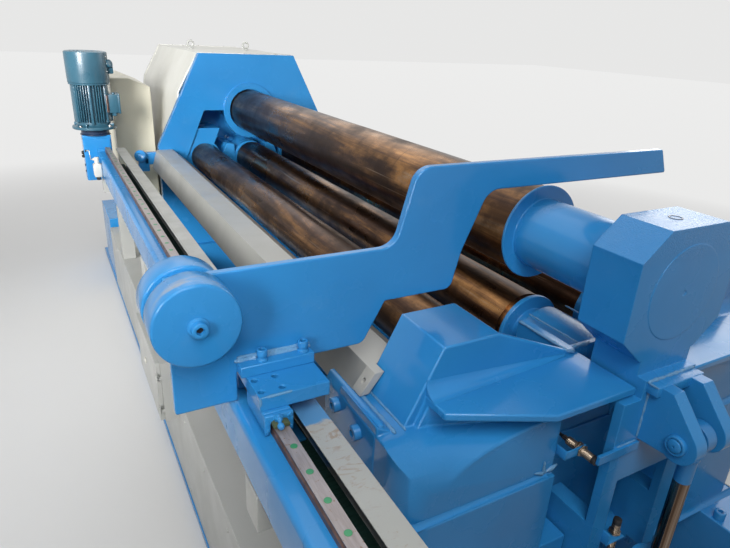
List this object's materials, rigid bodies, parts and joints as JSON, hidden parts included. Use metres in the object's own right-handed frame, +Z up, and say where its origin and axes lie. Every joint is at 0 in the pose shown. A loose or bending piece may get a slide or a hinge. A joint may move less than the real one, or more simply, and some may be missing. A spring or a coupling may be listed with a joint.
{
  "type": "four-roll plate rolling machine",
  "caption": "Floor-standing plate rolling machine with top, bottom and side rolls, a drop end tipped by a cylinder and a belt-driven pusher arm.",
  "frame": {"origin": "on the floor under the middle of the rolls, on the underside of the bed's middle cross member", "axes": "+Y along the rolls towards the drive end, +X to the right when looking along +Y, +Z up"},
  "size_m": [1.632, 3.88, 1.4209],
  "materials": {
    "blue_paint": "gloss enamel",
    "beige_paint": "satin powder coat",
    "motor_paint": "gloss",
    "roll_steel": "ground and oiled",
    "rail_steel": "ground, lightly rusted",
    "zinc_steel": "plated",
    "chrome_rod": "polished",
    "belt_rubber": "matt"
  },
  "bodies": {
    "root": {"beam_brackets": "beige_paint", "beam_tube": "blue_paint", "bed_frame": "blue_paint", "belt_cover": "beige_paint", "belt_gearbox": "blue_paint", "belt_pulleys": "rail_steel", "control_cabinet": "beige_paint", "cylinder_bracket": "blue_paint", "drive_belt": "belt_rubber", "drive_housing": "beige_paint", "far_frame": "blue_paint", "junction_box": "beige_paint", "left_guard": "beige_paint", "left_side_cover": "beige_paint", "lifting_eyes": "zinc_steel", "limit_switch": "beige_paint", "linear_rail": "rail_steel", "near_frame": "blue_paint", "pusher_motor": "motor_paint", "right_guard": "beige_paint", "right_side_cover": "beige_paint", "tilt_shaft": "rail_steel"},
    "top_roll_body": {"top_roll": "roll_steel", "top_roll_sleeve": "blue_paint"},
    "bottom_bearings": {"bottom_near_bearing": "blue_paint", "bottom_far_bearing": "blue_paint"},
    "bottom_roll_body": {"bottom_roll": "roll_steel", "bottom_roll_collar": "blue_paint"},
    "left_side_bearings": {"left_near_block": "blue_paint", "left_far_block": "blue_paint"},
    "left_roll_body": {"left_side_roll": "roll_steel"},
    "right_side_bearings": {"right_near_block": "blue_paint", "right_far_block": "blue_paint"},
    "right_roll_body": {"right_side_roll": "roll_steel"},
    "pusher": {"carriage_blocks": "blue_paint", "carriage_plate": "blue_paint", "clamp_bar": "blue_paint", "pusher_arm": "blue_paint", "counterweight": "blue_paint"},
    "drop_end_body": {"drop_end": "blue_paint", "lug_pin": "blue_paint"},
    "tilt_rod": {"cylinder_rod": "chrome_rod"},
    "tilt_barrel": {"cylinder_barrel": "blue_paint"},
    "box_lid": {"junction_box_lid": "beige_paint"}
  },
  "joints": [
    {"name": "top_roll_spin", "type": "hinge", "parent": "root", "child": "top_roll_body", "pos_m": [0, 0, 1.089], "axis": [0, 1, 0], "continuous": true},
    {"name": "bottom_lift", "type": "slide", "parent": "root", "child": "bottom_bearings", "axis": [0, 0, 1], "range_m": [0, 0.052]},
    {"name": "bottom_roll_spin", "type": "hinge", "parent": "bottom_bearings", "child": "bottom_roll_body", "pos_m": [0, 0, 0.84], "axis": [0, 1, 0], "continuous": true},
    {"name": "left_side_lift", "type": "slide", "parent": "root", "child": "left_side_bearings", "axis": [0.3907, 0, 0.9205], "range_m": [0, 0.085]},
    {"name": "left_roll_spin", "type": "hinge", "parent": "left_side_bearings", "child": "left_roll_body", "pos_m": [-0.251, 0, 0.852], "axis": [0, 1, 0], "continuous": true},
    {"name": "right_side_lift", "type": "slide", "parent": "root", "child": "right_side_bearings", "axis": [-0.3907, 0, 0.9205], "range_m": [0, 0.085]},
    {"name": "right_roll_spin", "type": "hinge", "parent": "right_side_bearings", "child": "right_roll_body", "pos_m": [0.251, 0, 0.852], "axis": [0, 1, 0], "continuous": true},
    {"name": "pusher_slide", "type": "slide", "parent": "root", "child": "pusher", "axis": [0, 1, 0], "range_m": [-0.3, 2.05]},
    {"name": "drop_end_tilt", "type": "hinge", "parent": "root", "child": "drop_end_body", "pos_m": [0, -1.388, 0.44], "axis": [1, 0, 0], "range_deg": [0, 60]},
    {"name": "rod_pivot", "type": "hinge", "parent": "drop_end_body", "child": "tilt_rod", "pos_m": [0, -1.555, 0.835], "axis": [1, 0, 0], "range_deg": [-30, 5]},
    {"name": "barrel_slide", "type": "slide", "parent": "tilt_rod", "child": "tilt_barrel", "axis": [0, 0, 1], "range_m": [-0.01, 0.27]},
    {"name": "box_lid_hinge", "type": "hinge", "parent": "root", "child": "box_lid", "pos_m": [-0.788, -0.355, 0.4], "axis": [0, 0, 1], "range_deg": [0, 110]}
  ],
  "couplings": [
    {"joint": "rod_pivot", "follows": "drop_end_tilt", "ratio": -0.43277},
    {"joint": "barrel_slide", "follows": "drop_end_tilt", "m_per_rad": 0.25113}
  ]
}
